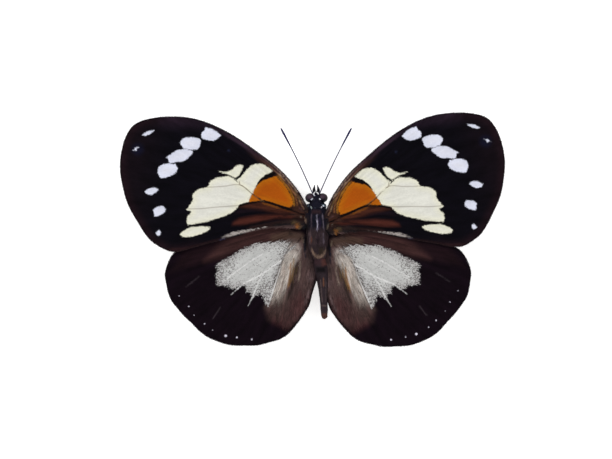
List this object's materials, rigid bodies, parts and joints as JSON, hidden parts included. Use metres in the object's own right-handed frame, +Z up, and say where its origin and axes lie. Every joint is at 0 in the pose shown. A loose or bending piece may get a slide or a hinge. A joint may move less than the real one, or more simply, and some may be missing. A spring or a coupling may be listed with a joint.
{
  "type": "butterfly model, euxanthe trajanus",
  "caption": "Life-size still model of a spread black, cream and orange African butterfly standing on its legs.",
  "frame": {"origin": "middle of the whole spread butterfly, on the ground under its feet", "axes": "+X towards the butterfly's right wing tips, +Y towards its head, +Z up"},
  "size_m": [0.0864, 0.0524, 0.018],
  "materials": {
    "forewing": "matt scales, blackish brown with cream, bluish white and orange markings",
    "hindwing": "matt scales, blackish brown with a pale grey patch and white dots",
    "body_hair": "dark brown and black hair and scales",
    "horn": "blackish horn with a satin sheen",
    "eye": "glossy dark red-brown"
  },
  "bodies": {
    "root": {"head": "body_hair", "thorax": "body_hair", "abdomen": "body_hair", "eye_l": "eye", "eye_r": "eye", "antenna_l": "horn", "antenna_r": "horn", "palp_l": "body_hair", "palp_r": "body_hair", "proboscis": "horn", "forewing_l": "forewing", "forewing_r": "forewing", "hindwing_l": "hindwing", "hindwing_r": "hindwing", "foreleg_l": "horn", "foreleg_r": "horn", "midleg_l": "horn", "midleg_r": "horn", "hindleg_l": "horn", "hindleg_r": "horn"}
  },
  "joints": []
}
